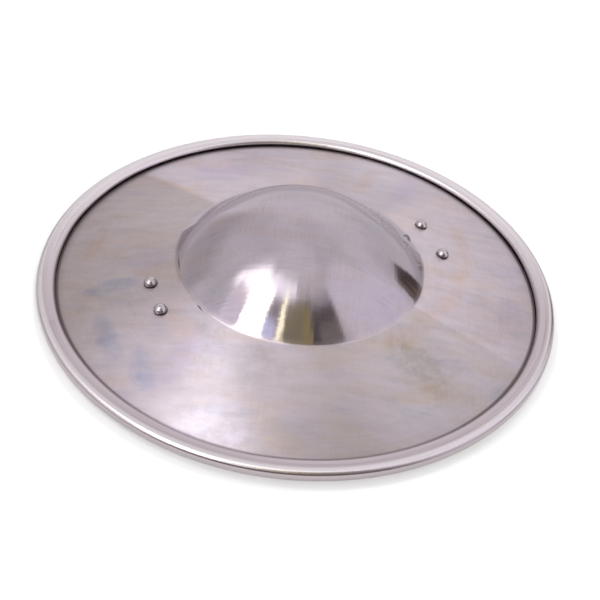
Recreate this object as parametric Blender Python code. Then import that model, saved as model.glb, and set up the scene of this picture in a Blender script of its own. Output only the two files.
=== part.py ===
"""A round steel buckler: one raised sheet with a domed boss and a rolled rim,
a steel grip across the hollow of the boss, and the four rivets that hold it.

The buckler lies on its rim with the boss up. The origin is on the boss's axis,
at the level that the rim rests on, and the grip runs along X.
"""
from math import atan2, ceil, copysign, cos, hypot, pi, radians, sin, sqrt, tan

import bpy
import bmesh
from mathutils import Matrix, Vector

# ---------------------------------------------------------------- sizes, in metres
OUTER_RADIUS = 0.178            # over the rolled rim
SHEET = 0.0015                  # thickness of the sheet
GAP = 0.0003                    # between pieces that bear on each other

# rolled rim: the edge of the sheet curled over to the front. It is a little flattened,
# and its upper half is squarer than an ellipse
ROLL_WIDTH = 0.0123
ROLL_HEIGHT = 0.0102
ROLL_START = radians(-150)      # where the sheet runs into the curl
ROLL_END = radians(177)         # where the raw edge stops, just above the face
ROLL_SQUARE = 2 / 3             # 1 for an ellipse, less for squarer shoulders

# face: a shallow cone that falls from the boss to the rim
FACE_SLOPE = radians(10.2)
FACE_LEVEL = 0.0048             # height of the front of the face at the raw edge
FACE_OUTER_RADIUS = OUTER_RADIUS - ROLL_WIDTH
FACE_STRAIGHT_TO = FACE_OUTER_RADIUS - 0.0005
SET_DOWN_LEAN = radians(55)     # how steeply the face dips into the roll, out of sight

# boss: a round cap raised by hand inside a true circle on the face. Its wall stands at
# the circle on most sides and is set in from it on one, where the foot curve is wide.
# The wall steps in sharply at the foot and gently higher up
BOSS_TOP = 0.0607
BOSS_CIRCLE = 0.0867            # radius where the face ends and the foot curve starts
BOSS_WALL = 0.0857              # radius where the bare cap would cut the face
SET_IN = 0.0088
SET_IN_SKEW = 0.0025            # set in by so much more on one hand than on the other
SET_IN_TOWARDS = radians(64.4)
AT_FOOT = cos(radians(79)), cos(radians(71))        # where it starts and is full
HIGHER_UP = cos(radians(95)), cos(radians(45))
SET_IN_FADE = 6                 # how soon the foot's shape gives way, going up

# rivets: a pair at each end of the grip, set by eye and so not quite even
GRIP_LINE_Y = -0.0039
RIVET_PAIRS = {"left": (-0.1047, 0.0267), "right": (0.1025, 0.0352)}  # x, spacing
PAIR_LEAN = radians(3)
RIVET_HEAD_RADIUS = 0.0046
RIVET_HEAD_HEIGHT = 0.0042
RIVET_SHANK_RADIUS = 0.0024
RIVET_TAIL_RADIUS = 0.0040
RIVET_TAIL_HEIGHT = 0.0016

# grip: a strap with spread ends, bowed away from the boss, its long sides turned up
GRIP_THICKNESS = 0.0025
GRIP_END_PAST_RIVETS = 0.011
GRIP_END_HALF_WIDTH = 0.026
GRIP_CORNER = 0.009             # radius of the corners of the ends
GRIP_HALF_WIDTH = 0.0150
GRIP_FLAT_HALF_WIDTH = 0.0080
GRIP_SIDES_RISE = 0.0050
GRIP_MIDDLE_TOP = 0.0130        # height of the flat of the strap at mid length
GRIP_STRAIGHT_HALF = 0.045      # half the length that stays level
GRIP_SEAT_HALF = 0.090          # from here outwards the strap lies on the sheet

# how finely the solids are faceted
TURNS = 72
CAP_STEPS = 8
FOOT_STEPS = 3
SET_DOWN_STEPS = 2
ROLL_STEP = radians(30)         # puts points at the rim's widest and lowest places
RIVET_TURNS = 12
GRIP_STATIONS_MIDDLE = 2
GRIP_STATIONS_BEND = 6
GRIP_STATIONS_CORNER = 3


# ---------------------------------------------------------------- shared helpers
def new_material(name, colour, roughness):
    """A bare metal with the given colour and polish."""
    material = bpy.data.materials.new(name)
    material.use_nodes = True
    shader = material.node_tree.nodes["Principled BSDF"]
    shader.inputs["Base Color"].default_value = (*colour, 1.0)
    shader.inputs["Metallic"].default_value = 1.0
    shader.inputs["Roughness"].default_value = roughness
    return material


def add_object(name, mesh, material=None):
    """Link a mesh to the scene under a plain name."""
    piece = bpy.data.objects.new(name, mesh)
    bpy.context.scene.collection.objects.link(piece)
    if material:
        mesh.materials.append(material)
    return piece


def turned(name, profile, turns, material=None):
    """Turn a profile of (radius, height) points round the Z axis.

    The profile starts and ends on the axis and runs outwards first along its top.
    """
    mesh = bpy.data.meshes.new(name)
    points = [(radius, 0.0, height) for radius, height in profile]
    edges = [(i, i + 1) for i in range(len(points) - 1)]
    mesh.from_pydata(points, edges, [])
    piece = add_object(name, mesh, material)
    screw = piece.modifiers.new("turn", "SCREW")
    screw.axis = "Z"
    screw.steps = turns
    screw.render_steps = turns
    screw.use_merge_vertices = True
    screw.merge_threshold = 0.00001
    screw.use_smooth_shade = True
    return piece


def cut(piece, cutter):
    """Cut one solid out of another with a live Boolean."""
    cutter.hide_render = True
    cutter.display_type = "WIRE"
    boolean = piece.modifiers.new("hole", "BOOLEAN")
    boolean.operation = "DIFFERENCE"
    boolean.solver = "EXACT"
    boolean.object = cutter


def arc(centre, radius, start, end, steps):
    """Points on a circular arc; the angles are measured from the +r axis."""
    angles = [start + (end - start) * i / steps for i in range(steps + 1)]
    return [(centre[0] + radius * cos(a), centre[1] + radius * sin(a)) for a in angles]


def ease(t):
    """Smooth step from 0 to 1."""
    t = min(max(t, 0.0), 1.0)
    return t * t * (3 - 2 * t)


# ---------------------------------------------------------------- the sheet
def face_height(radius):
    """Height of the middle of the sheet on the straight part of the face."""
    front = FACE_LEVEL + tan(FACE_SLOPE) * (FACE_OUTER_RADIUS - radius)
    return front - SHEET / 2 / cos(FACE_SLOPE)


def wall_radius(azimuth, start, full):
    """Radius at which the bare cap would cut the face, in one direction."""
    turn = azimuth - SET_IN_TOWARDS
    share = ease((cos(turn) - start) / (full - start))
    return BOSS_WALL - share * (SET_IN - SET_IN_SKEW * sin(turn))


def cap_and_foot(wall):
    """Middle of the sheet from the axis to the face, for a cap of one wall radius."""
    rise = BOSS_TOP - face_height(wall) - SHEET / 2 / cos(FACE_SLOPE)
    front_radius = (wall ** 2 + rise ** 2) / 2 / rise
    centre = Vector((0.0, BOSS_TOP - front_radius))
    cap_radius = front_radius - SHEET / 2

    # the foot curve touches the face at the boss's circle and the cap from outside
    circle = Vector((BOSS_CIRCLE, face_height(BOSS_CIRCLE)))
    square = Vector((sin(FACE_SLOPE), cos(FACE_SLOPE)))
    apart = circle - centre
    foot_radius = (apart.length_squared - cap_radius ** 2) / 2 / (cap_radius - apart @ square)
    foot_centre = circle + foot_radius * square

    reach = foot_centre - centre
    touch = atan2(reach.y, reach.x)
    cap = arc(centre, cap_radius, pi / 2, touch, CAP_STEPS)
    foot = arc(foot_centre, foot_radius, touch + pi, 3 * pi / 2 - FACE_SLOPE, FOOT_STEPS)
    return cap + foot[1:]


def boss_points(azimuth):
    """Middle of the sheet over the boss in one direction, from the axis to the face."""
    low = cap_and_foot(wall_radius(azimuth, *AT_FOOT))
    high = cap_and_foot(wall_radius(azimuth, *HIGHER_UP))
    points = []
    for i, (a, b) in enumerate(zip(high, low)):
        share = min(i / CAP_STEPS, 1.0) ** SET_IN_FADE
        points.append((a[0] + (b[0] - a[0]) * share, a[1] + (b[1] - a[1]) * share))
    return points


def roll_points():
    """Middle of the sheet round the rolled rim, from below to the raw edge."""
    centre = (OUTER_RADIUS - ROLL_WIDTH / 2, ROLL_HEIGHT / 2)
    wide, high = (ROLL_WIDTH - SHEET) / 2, (ROLL_HEIGHT - SHEET) / 2
    steps = ceil((ROLL_END - ROLL_START) / ROLL_STEP)
    angles = [min(ROLL_START + i * ROLL_STEP, ROLL_END) for i in range(steps + 1)]
    points = []
    for a in angles:
        power = ROLL_SQUARE if a > 0 else 1.0
        points.append((centre[0] + wide * copysign(abs(cos(a)) ** power, cos(a)),
                       centre[1] + high * copysign(abs(sin(a)) ** power, sin(a))))
    return points


def set_down_points(start, end):
    """The short dip that takes the face down into the roll, as a smooth curve."""
    reach = hypot(end[0] - start[0], end[1] - start[1]) / 3
    lean = SET_DOWN_LEAN
    a = (start[0] + reach * cos(FACE_SLOPE), start[1] - reach * sin(FACE_SLOPE))
    b = (end[0] - reach * cos(lean), end[1] + reach * sin(lean))
    points = []
    for i in range(SET_DOWN_STEPS + 1):
        t = i / SET_DOWN_STEPS
        weights = ((1 - t) ** 3, 3 * t * (1 - t) ** 2, 3 * t * t * (1 - t), t ** 3)
        points.append(tuple(sum(w * p[k] for w, p in zip(weights, (start, a, b, end)))
                            for k in range(2)))
    return points


def sheet_profile(azimuth):
    """Section of the sheet in one direction: out along its front, in along its back."""
    roll = roll_points()
    start = (FACE_STRAIGHT_TO, face_height(FACE_STRAIGHT_TO))
    middle = boss_points(azimuth) + set_down_points(start, roll[0]) + roll[1:]
    front, back = [], []
    for i, (r, z) in enumerate(middle):
        before = middle[max(i - 1, 0)]
        after = middle[min(i + 1, len(middle) - 1)]
        along = Vector((after[0] - before[0], after[1] - before[1])).normalized()
        if i == 0:
            along = Vector((1.0, 0.0))
        side = Vector((-along[1], along[0])) * SHEET / 2
        front.append((r + side[0], z + side[1]))
        back.append((r - side[0], z - side[1]))
    return front + back[::-1]


def sheet_mesh():
    """Carry the section of the sheet all the way round."""
    body = bmesh.new()
    first = sheet_profile(0.0)
    top = body.verts.new((0, 0, first[0][1]))
    under = body.verts.new((0, 0, first[-1][1]))
    strips = []
    for i in range(TURNS):
        a = 2 * pi * i / TURNS
        ring = [body.verts.new((r * cos(a), r * sin(a), z)) for r, z in sheet_profile(a)[1:-1]]
        strips.append([top, *ring, under])
    for strip, following in zip(strips, strips[1:] + strips[:1]):
        for i in range(len(strip) - 1):
            corners = (strip[i], strip[i + 1], following[i + 1], following[i])
            body.faces.new(dict.fromkeys(corners))
    bmesh.ops.recalc_face_normals(body, faces=body.faces)
    mesh = bpy.data.meshes.new("shield_plate")
    body.to_mesh(mesh)
    body.free()
    mesh.shade_smooth()
    mesh.set_sharp_from_angle(angle=radians(40))
    return mesh


# ---------------------------------------------------------------- rivets
def rivet_places():
    """Name and (x, y) of each rivet."""
    places = {}
    for end, (x, spacing) in RIVET_PAIRS.items():
        for side, sign in (("back", 1), ("front", -1)):
            half = sign * spacing / 2
            places[f"rivet_{end}_{side}"] = (x + half * sin(PAIR_LEAN),
                                             GRIP_LINE_Y + half * cos(PAIR_LEAN))
    return places


def square_to_face(x, y):
    """Frame of a rivet: origin on the front of the face, +Z square to the face."""
    radius = hypot(x, y)
    height = face_height(radius) + SHEET / 2 / cos(FACE_SLOPE)
    lean = Matrix.Rotation(FACE_SLOPE, 4, Vector((-y, x, 0)))
    return Matrix.Translation((x, y, height)) @ lean


def rivet_profile():
    """Head, shank and hammered tail, turned round the rivet's own axis."""
    head_ball = (RIVET_HEAD_RADIUS ** 2 + RIVET_HEAD_HEIGHT ** 2) / 2 / RIVET_HEAD_HEIGHT
    tail_ball = (RIVET_TAIL_RADIUS ** 2 + RIVET_TAIL_HEIGHT ** 2) / 2 / RIVET_TAIL_HEIGHT
    head_rim = atan2(head_ball - RIVET_HEAD_HEIGHT, -RIVET_HEAD_RADIUS)
    tail_rim = atan2(tail_ball - RIVET_TAIL_HEIGHT, RIVET_TAIL_RADIUS)
    under_head = GAP
    under_grip = -(SHEET + GAP + GRIP_THICKNESS + 2 * GAP)
    head = arc((0, under_head + RIVET_HEAD_HEIGHT - head_ball), head_ball,
               pi / 2, pi - head_rim, 5)
    tail = arc((0, under_grip - RIVET_TAIL_HEIGHT + tail_ball), tail_ball,
               -tail_rim, -pi / 2, 3)
    shank = [(RIVET_SHANK_RADIUS, under_head), (RIVET_SHANK_RADIUS, under_grip)]
    return head + shank + tail


# ---------------------------------------------------------------- grip
def grip_end(end):
    """Distance from the middle of the buckler to one end of the strap."""
    return abs(RIVET_PAIRS[end][0]) + GRIP_END_PAST_RIVETS


def grip_section(x):
    """Half width, flat half width and side rise of the strap at a place along it."""
    spread = ease((abs(x) - GRIP_STRAIGHT_HALF) / (GRIP_SEAT_HALF - GRIP_STRAIGHT_HALF))
    half = GRIP_HALF_WIDTH + (GRIP_END_HALF_WIDTH - GRIP_HALF_WIDTH) * spread
    into_corner = GRIP_CORNER - (grip_end("left" if x < 0 else "right") - abs(x))
    if into_corner > 0:
        half -= GRIP_CORNER - sqrt(max(GRIP_CORNER ** 2 - into_corner ** 2, 0.0))
    flat = GRIP_FLAT_HALF_WIDTH * half / GRIP_HALF_WIDTH
    return half, flat, GRIP_SIDES_RISE * (1 - spread)


def grip_stations():
    """Places along X where the strap's section is drawn."""
    quarter = [pi / 2 * i / GRIP_STATIONS_CORNER for i in range(GRIP_STATIONS_CORNER + 1)]
    corner = [GRIP_CORNER * (1 - cos(a)) for a in quarter]
    places = [d - grip_end("left") for d in corner]
    marks = (-GRIP_SEAT_HALF, -GRIP_STRAIGHT_HALF, GRIP_STRAIGHT_HALF, GRIP_SEAT_HALF)
    counts = (GRIP_STATIONS_BEND, GRIP_STATIONS_MIDDLE, GRIP_STATIONS_BEND)
    places.append(marks[0])
    for start, end, count in zip(marks, marks[1:], counts):
        places += [start + (end - start) * (i + 1) / count for i in range(count)]
    return places + [grip_end("right") - d for d in reversed(corner)]


def seat_height(x, y):
    """Height of the strap's upper side where it lies on the back of the sheet."""
    return face_height(hypot(x, y)) - (SHEET / 2 + GAP) / cos(FACE_SLOPE)


def strap_height(x, y, rise):
    """Height of the strap's upper side, before its long sides are turned up."""
    seated = ease((abs(x) - GRIP_STRAIGHT_HALF) / (GRIP_SEAT_HALF - GRIP_STRAIGHT_HALF))
    radius = max(hypot(x, y), 1e-6)
    on_sheet = seat_height(x * max(GRIP_SEAT_HALF / radius, 1.0),
                           y * max(GRIP_SEAT_HALF / radius, 1.0))
    return GRIP_MIDDLE_TOP + (on_sheet - GRIP_MIDDLE_TOP) * seated + rise


def grip_mesh():
    """Loft the strap from sections along X, upper side and lower side."""
    body = bmesh.new()
    rings = []
    for x in grip_stations():
        half, flat, rise = grip_section(x)
        across = (-half, -(half + flat) / 2, -flat, flat, (half + flat) / 2, half)
        upper = []
        for y in across:
            turn_up = rise * (max(abs(y) - flat, 0.0) / (half - flat)) ** 2
            upper.append(Vector((x, y + GRIP_LINE_Y,
                                 strap_height(x, y + GRIP_LINE_Y, turn_up))))
        lower = []
        for i, point in enumerate(upper):
            along = upper[min(i + 1, len(upper) - 1)] - upper[max(i - 1, 0)]
            down = Vector((0, along.z, -along.y)).normalized()
            lower.append(point + down * GRIP_THICKNESS)
        rings.append([body.verts.new(p) for p in upper + lower[::-1]])
    for ring, following in zip(rings, rings[1:]):
        size = len(ring)
        for i in range(size):
            j = (i + 1) % size
            body.faces.new((ring[i], ring[j], following[j], following[i]))
    body.faces.new(rings[0][::-1])
    body.faces.new(rings[-1])
    bmesh.ops.recalc_face_normals(body, faces=body.faces)
    mesh = bpy.data.meshes.new("grip")
    body.to_mesh(mesh)
    body.free()
    mesh.shade_smooth()
    mesh.set_sharp_from_angle(angle=radians(35))
    return mesh


# ---------------------------------------------------------------- the whole buckler
def build():
    for old in list(bpy.data.objects):
        bpy.data.objects.remove(old, do_unlink=True)

    polished = new_material("polished_steel", (0.66, 0.64, 0.66), 0.22)
    bright = new_material("rivet_steel", (0.72, 0.70, 0.71), 0.12)
    plain = new_material("grip_steel", (0.55, 0.54, 0.55), 0.35)

    shield = add_object("shield_plate", sheet_mesh(), polished)
    grip = add_object("grip", grip_mesh(), plain)

    hole = RIVET_SHANK_RADIUS + GAP
    reach = 0.012
    hole_profile = [(0, reach), (hole, reach), (hole, -reach), (0, -reach)]
    for name, (x, y) in rivet_places().items():
        place = square_to_face(x, y)
        rivet = turned(name, rivet_profile(), RIVET_TURNS, bright)
        rivet.matrix_world = place
        cutter = turned(f"hole_for_{name}", hole_profile, RIVET_TURNS)
        cutter.matrix_world = place
        cut(shield, cutter)
        cut(grip, cutter)


build()
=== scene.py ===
"""A round steel buckler lying on a pale floor, boss up.

One sheet of steel is raised into the domed boss and the sloping face, and its edge is
rolled to the front. Four domed rivets hold a steel grip across the hollow behind.
"""
import logging
from dataclasses import dataclass, field
from enum import Enum
from math import atan2, copysign, cos, degrees, dist, hypot, pi, radians, sin, sqrt, tan

import bpy
from mathutils import Matrix, Vector, noise


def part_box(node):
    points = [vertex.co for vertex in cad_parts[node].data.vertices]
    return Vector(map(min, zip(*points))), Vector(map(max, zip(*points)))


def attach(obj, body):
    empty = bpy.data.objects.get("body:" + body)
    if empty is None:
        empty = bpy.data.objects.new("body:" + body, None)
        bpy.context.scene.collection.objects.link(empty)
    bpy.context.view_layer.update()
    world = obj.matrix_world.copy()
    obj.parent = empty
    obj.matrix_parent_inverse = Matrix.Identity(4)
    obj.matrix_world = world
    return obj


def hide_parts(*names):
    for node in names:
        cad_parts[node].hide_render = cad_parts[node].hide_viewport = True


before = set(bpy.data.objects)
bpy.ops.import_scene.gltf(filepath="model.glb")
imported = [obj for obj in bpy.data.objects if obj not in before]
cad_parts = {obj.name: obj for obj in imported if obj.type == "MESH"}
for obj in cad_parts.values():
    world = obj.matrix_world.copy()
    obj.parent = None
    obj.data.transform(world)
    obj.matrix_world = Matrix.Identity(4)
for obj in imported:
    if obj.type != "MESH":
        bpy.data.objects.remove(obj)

LOG = logging.getLogger("buckler")
BODY = "root"
TOUCHING = 0.000002             # metres within which two points are one
BIT_LENGTH = 0.02               # metres, longer than anything that is drilled
BIT_SIDES = 24
NOISE_MIDDLE = 0.5              # what smooth random values lie round
BLACK = (0.0, 0.0, 0.0)
STATION = "station"             # the layer that numbers a vertex along its section

Point = tuple[float, float]
Section = list[Point]
Colour = tuple[float, float, float]
Link = "Value | float | tuple"


class Slot(Enum):
    """The finishes that the buckler's pieces take."""

    SHINE = "polished_steel"
    RIVET = "rivet_steel"
    GRIP = "grip_steel"


# ------------------------------------------------------------------ modelling helpers
def deselect_all() -> None:
    """Leave nothing selected, so that an operator acts on one piece only."""
    bpy.ops.object.select_all(action="DESELECT")


def make_active(piece: bpy.types.Object) -> None:
    """Select one piece and make it the one that operators act on.

    Args:
        piece: the piece.
    """
    deselect_all()
    piece.select_set(True)
    bpy.context.view_layer.objects.active = piece


def draw_chain(name: str, points: Section) -> bpy.types.Object:
    """Draw a line through points in the XZ plane, by extruding one vertex.

    Args:
        name: the piece's name.
        points: (x, z) of each point, in metres.

    Returns:
        A piece whose mesh is the line.
    """
    deselect_all()
    bpy.ops.mesh.primitive_circle_add(vertices=3, radius=TOUCHING)
    piece = bpy.context.object
    piece.name = piece.data.name = name
    for vertex in piece.data.vertices:
        vertex.co = (points[0][0], 0.0, points[0][1])
    bpy.ops.object.mode_set(mode="EDIT")
    bpy.ops.mesh.select_all(action="SELECT")
    bpy.ops.mesh.merge(type="CENTER")
    for before, after in zip(points, points[1:]):
        step = (after[0] - before[0], 0.0, after[1] - before[1])
        bpy.ops.mesh.extrude_region_move(TRANSFORM_OT_translate={"value": step})
    bpy.ops.object.mode_set(mode="OBJECT")
    return piece


def spin_round(piece: bpy.types.Object, turns: int) -> None:
    """Spin a piece's line once round the Z axis and close the seam and the poles.

    Args:
        piece: a piece whose mesh is a line in the XZ plane.
        turns: how many steps the full circle has.
    """
    make_active(piece)
    bpy.ops.object.mode_set(mode="EDIT")
    bpy.ops.mesh.select_all(action="SELECT")
    bpy.ops.mesh.spin(steps=turns, angle=2 * pi, center=(0, 0, 0), axis=(0, 0, 1))
    bpy.ops.mesh.select_all(action="SELECT")
    bpy.ops.mesh.remove_doubles(threshold=TOUCHING)
    bpy.ops.mesh.normals_make_consistent(inside=False)
    bpy.ops.object.mode_set(mode="OBJECT")


def number_vertices(piece: bpy.types.Object, layer: str, points: Section) -> None:
    """Store the number of each vertex's own point, in a layer that the spin copies along.

    Args:
        piece: a chain drawn through the points.
        layer: the layer's name.
        points: the points, in order along the chain.
    """
    numbers = piece.data.attributes.new(layer, "INT", "POINT")
    for vertex in piece.data.vertices:
        spot = (vertex.co.x, vertex.co.z)
        numbers.data[vertex.index].value = min(range(len(points)),
                                               key=lambda k: dist(points[k], spot))


def apply_modifier(piece: bpy.types.Object, kind: str, **settings: object) -> None:
    """Add a modifier with its settings and apply it.

    Args:
        piece: the piece to change.
        kind: the modifier's type.
        settings: the modifier's properties.
    """
    make_active(piece)
    modifier = piece.modifiers.new(kind.lower(), kind)
    for name, value in settings.items():
        setattr(modifier, name, value)
    bpy.ops.object.modifier_apply(modifier=modifier.name)


def smooth(piece: bpy.types.Object, angle: float) -> None:
    """Shade a piece smooth, with edges sharper than an angle kept."""
    make_active(piece)
    bpy.ops.object.shade_smooth_by_angle(angle=angle)


def drill(piece: bpy.types.Object, places: list[Matrix], radius: float) -> None:
    """Cut round holes through a piece, with one cutter that holds every drill bit.

    Args:
        piece: the piece to drill.
        places: frames whose Z axes are the holes' axes.
        radius: the holes' radius.
    """
    bits = []
    for place in places:
        deselect_all()
        bpy.ops.mesh.primitive_cylinder_add(vertices=BIT_SIDES, radius=radius, depth=BIT_LENGTH)
        bits.append(bpy.context.object)
        bits[-1].data.transform(place)
    deselect_all()
    for bit in bits:
        bit.select_set(True)
    bpy.ops.object.join()
    cutter = bpy.context.object
    apply_modifier(piece, "BOOLEAN", operation="DIFFERENCE", solver="EXACT", object=cutter)
    bpy.data.objects.remove(cutter)


def arc(centre: Point, radius: float, start: float, end: float, steps: int) -> Section:
    """Points on a circular arc.

    Args:
        centre: the circle's centre.
        radius: its radius.
        start: the first point's angle, from the first axis.
        end: the last point's angle.
        steps: how many steps lie between them.

    Returns:
        The points, both ends included.
    """
    angles = [start + (end - start) * i / steps for i in range(steps + 1)]
    return [(centre[0] + radius * cos(a), centre[1] + radius * sin(a)) for a in angles]


def between(start: Point, end: Point, steps: int) -> Section:
    """Points on a straight line, both ends included."""
    return [(start[0] + (end[0] - start[0]) * i / steps,
             start[1] + (end[1] - start[1]) * i / steps) for i in range(steps + 1)]


def ease(share: float) -> float:
    """Smooth step from 0 to 1."""
    share = min(max(share, 0.0), 1.0)
    return share * share * (3 - 2 * share)


# ------------------------------------------------------------------ shader helpers
class Value:
    """A shader value that Python's operators work on. Each operation adds a Math node."""

    def __init__(self, graph: "Graph", socket: bpy.types.NodeSocket) -> None:
        """Wrap a node's output socket."""
        self.graph = graph
        self.socket = socket

    def _math(self, operation: str, *values: Link) -> "Value":
        """Add a Math node over the given values."""
        return self.graph.node("ShaderNodeMath", {"operation": operation},
                               dict(enumerate(values)))

    def __add__(self, other: Link) -> "Value":
        """self + other."""
        return self._math("ADD", self, other)

    def __sub__(self, other: Link) -> "Value":
        """self - other."""
        return self._math("SUBTRACT", self, other)

    def __mul__(self, other: Link) -> "Value":
        """self * other."""
        return self._math("MULTIPLY", self, other)

    def __truediv__(self, other: Link) -> "Value":
        """self / other."""
        return self._math("DIVIDE", self, other)

    def __pow__(self, other: Link) -> "Value":
        """self ** other."""
        return self._math("POWER", self, other)

    def __radd__(self, other: Link) -> "Value":
        """other + self."""
        return self._math("ADD", other, self)

    def __rsub__(self, other: Link) -> "Value":
        """other - self."""
        return self._math("SUBTRACT", other, self)

    def __rmul__(self, other: Link) -> "Value":
        """other * self."""
        return self._math("MULTIPLY", other, self)

    def __rtruediv__(self, other: Link) -> "Value":
        """other / self."""
        return self._math("DIVIDE", other, self)

    def __rpow__(self, other: Link) -> "Value":
        """other ** self."""
        return self._math("POWER", other, self)

    def root(self) -> "Value":
        """The square root."""
        return self._math("SQRT", self)

    def angle_to(self, along: "Value") -> "Value":
        """The angle whose tangent is self over along."""
        return self._math("ARCTAN2", self, along)

    def arcsine(self) -> "Value":
        """The angle whose sine is self."""
        return self._math("ARCSINE", self)

    def rise(self, start: float, end: float) -> "Value":
        """0 before start, 1 after end and a smooth step between them."""
        return self.graph.node("ShaderNodeMapRange", {"interpolation_type": "SMOOTHSTEP"},
                               {"Value": self, "From Min": start, "From Max": end})

    def fall(self, start: float, end: float) -> "Value":
        """1 before start, 0 after end and a smooth step between them."""
        return 1 - self.rise(start, end)

    def blend(self, low: Link, high: Link) -> "Value":
        """low where the value is 0, high where it is 1 and a share of both between."""
        return low + self * (high - low)

    def band(self, middle: float, half: float, soft: float) -> "Value":
        """1 within half of middle, falling to 0 over soft on both sides."""
        up = self.rise(middle - half - soft, middle - half)
        return up * self.fall(middle + half, middle + half + soft)


class Graph:
    """A node tree being built."""

    def __init__(self, tree: bpy.types.NodeTree) -> None:
        """Start on a tree with no nodes."""
        self.tree = tree
        tree.nodes.clear()

    def node(self, kind: str, settings: dict | None = None, links: dict | None = None,
             output: str | int = 0) -> Value:
        """Add a node.

        Args:
            kind: the node's type.
            settings: its properties.
            links: input name or number to a Value or a plain value.
            output: name or number of the output to return.

        Returns:
            The chosen output.
        """
        node = self.tree.nodes.new(kind)
        for name, value in (settings or {}).items():
            setattr(node, name, value)
        for name, value in (links or {}).items():
            if isinstance(value, Value):
                self.tree.links.new(value.socket, node.inputs[name])
            elif isinstance(value, tuple) and len(value) == 3 and node.inputs[name].type == "RGBA":
                node.inputs[name].default_value = (*value, 1.0)
            else:
                node.inputs[name].default_value = value
        return Value(self, node.outputs[output])

    def place(self) -> Value:
        """The point on the piece, in metres."""
        return self.node("ShaderNodeTexCoord", output="Object")

    def axes(self, place: Value) -> tuple[Value, Value, Value]:
        """The three coordinates of a point.

        Args:
            place: the point.

        Returns:
            Its X, Y and Z.
        """
        first = self.node("ShaderNodeSeparateXYZ", links={0: place})
        node = first.socket.node
        return first, Value(self, node.outputs[1]), Value(self, node.outputs[2])

    def join(self, x: Link, y: Link, z: Link) -> Value:
        """A vector from three numbers."""
        return self.node("ShaderNodeCombineXYZ", links={0: x, 1: y, 2: z})

    def vector(self, operation: str, *values: Link) -> Value:
        """Vector maths over the given values."""
        return self.node("ShaderNodeVectorMath", {"operation": operation},
                         dict(enumerate(values)))

    def leaned(self, x: Link, y: Link) -> Value:
        """The surface's normal, leaned a little along X and Y."""
        normal = self.node("ShaderNodeNewGeometry", output="Normal")
        return self.vector("NORMALIZE", self.vector("ADD", normal, self.join(x, y, 0.0)))

    def shifted(self, place: Value, by: float) -> Value:
        """A place moved, so that a second pattern doesn't repeat the first."""
        return self.vector("ADD", place, (by, by, by))

    def stretched(self, place: Value, scale: tuple[float, float, float],
                  turn: float = 0.0) -> Value:
        """A place turned about Z and then scaled, for patterns with a grain.

        Args:
            place: the point.
            scale: the scale along each axis.
            turn: the turn, in radians.

        Returns:
            The place that the pattern reads.
        """
        turned = self.node("ShaderNodeVectorRotate", {"rotation_type": "Z_AXIS"},
                           {"Vector": place, "Angle": turn})
        return self.vector("MULTIPLY", turned, scale)

    def noise(self, place: Value, scale: float, detail: float = 2.0, rough: float = 0.5,
              warp: float = 0.0) -> Value:
        """Smooth random values round NOISE_MIDDLE.

        Args:
            place: the point.
            scale: how many lumps there are in a metre of it.
            detail: how many finer layers are added.
            rough: how strong each finer layer is.
            warp: how much the lumps are twisted.

        Returns:
            The values.
        """
        return self.node("ShaderNodeTexNoise", links={
            "Vector": place, "Scale": scale, "Detail": detail, "Roughness": rough,
            "Distortion": warp})

    def mix(self, share: Link, first: Link, second: Link, how: str = "MIX") -> Value:
        """Blend two colours by a share."""
        settings = {"data_type": "RGBA", "blend_type": how}
        return self.node("ShaderNodeMix", settings, {0: share, 6: first, 7: second}, 2)

    def tinted(self, colour: Link, share: Link, tint: Colour) -> Value:
        """A colour multiplied by a tint, as far as a share says."""
        return self.mix(share, colour, tint, "MULTIPLY")


@dataclass(frozen=True)
class Patches:
    """Random patches: how fine they are, and the random values that start and fill one."""

    scale: float
    start: float
    full: float
    detail: float = 2.0
    rough: float = 0.5
    warp: float = 0.0

    def over(self, graph: Graph, place: Value) -> Value:
        """1 inside the patches and 0 between them."""
        values = graph.noise(place, self.scale, self.detail, self.rough, self.warp)
        return values.rise(self.start, self.full)


@dataclass(frozen=True)
class Finish:
    """A finish that a piece can wear."""

    name: str

    def material(self) -> bpy.types.Material:
        """The finish as a material, made once.

        Returns:
            The material.
        """
        made = bpy.data.materials.get(self.name)
        if made is None:
            made = bpy.data.materials.new(self.name)
            made.use_nodes = True
            graph = Graph(made.node_tree)
            surface = self.surface(graph)
            out = made.node_tree.nodes.new("ShaderNodeOutputMaterial")
            made.node_tree.links.new(surface.socket, out.inputs["Surface"])
        return made

    def surface(self, graph: Graph) -> Value:
        """Build the finish's shader."""
        raise NotImplementedError

    def dress(self, piece: bpy.types.Object) -> None:
        """Put the finish on a piece, in place of any other."""
        piece.data.materials.clear()
        piece.data.materials.append(self.material())


@dataclass(frozen=True)
class TintedOval:
    """A tinted oval on the sheet, with a soft and ragged edge. Some are coloured patches of the
    steel; others are painted highlights and painted shade.

    Its middle is given by an azimuth in degrees and a radius in metres. The turn, in
    degrees, takes the direction away from the boss to the oval's long axis.
    """

    azimuth: float
    radius: float
    half_length: float
    half_width: float
    tint: Colour
    turn: float = 0.0
    fade: float = 2.0

    def mask(self, x: Value, y: Value) -> Value:
        """Share of the oval at a point.

        Args:
            x: the point's X.
            y: the point's Y.

        Returns:
            1 in the middle of the oval, fading to 0 at its edge.
        """
        azimuth, turn = radians(self.azimuth), radians(self.azimuth + self.turn)
        x = x - self.radius * cos(azimuth)
        y = y - self.radius * sin(azimuth)
        along = (x * cos(turn) + y * sin(turn)) / self.half_length
        across = (y * cos(turn) - x * sin(turn)) / self.half_width
        return (along * along + across * across).fall(0.0, self.fade)


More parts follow.
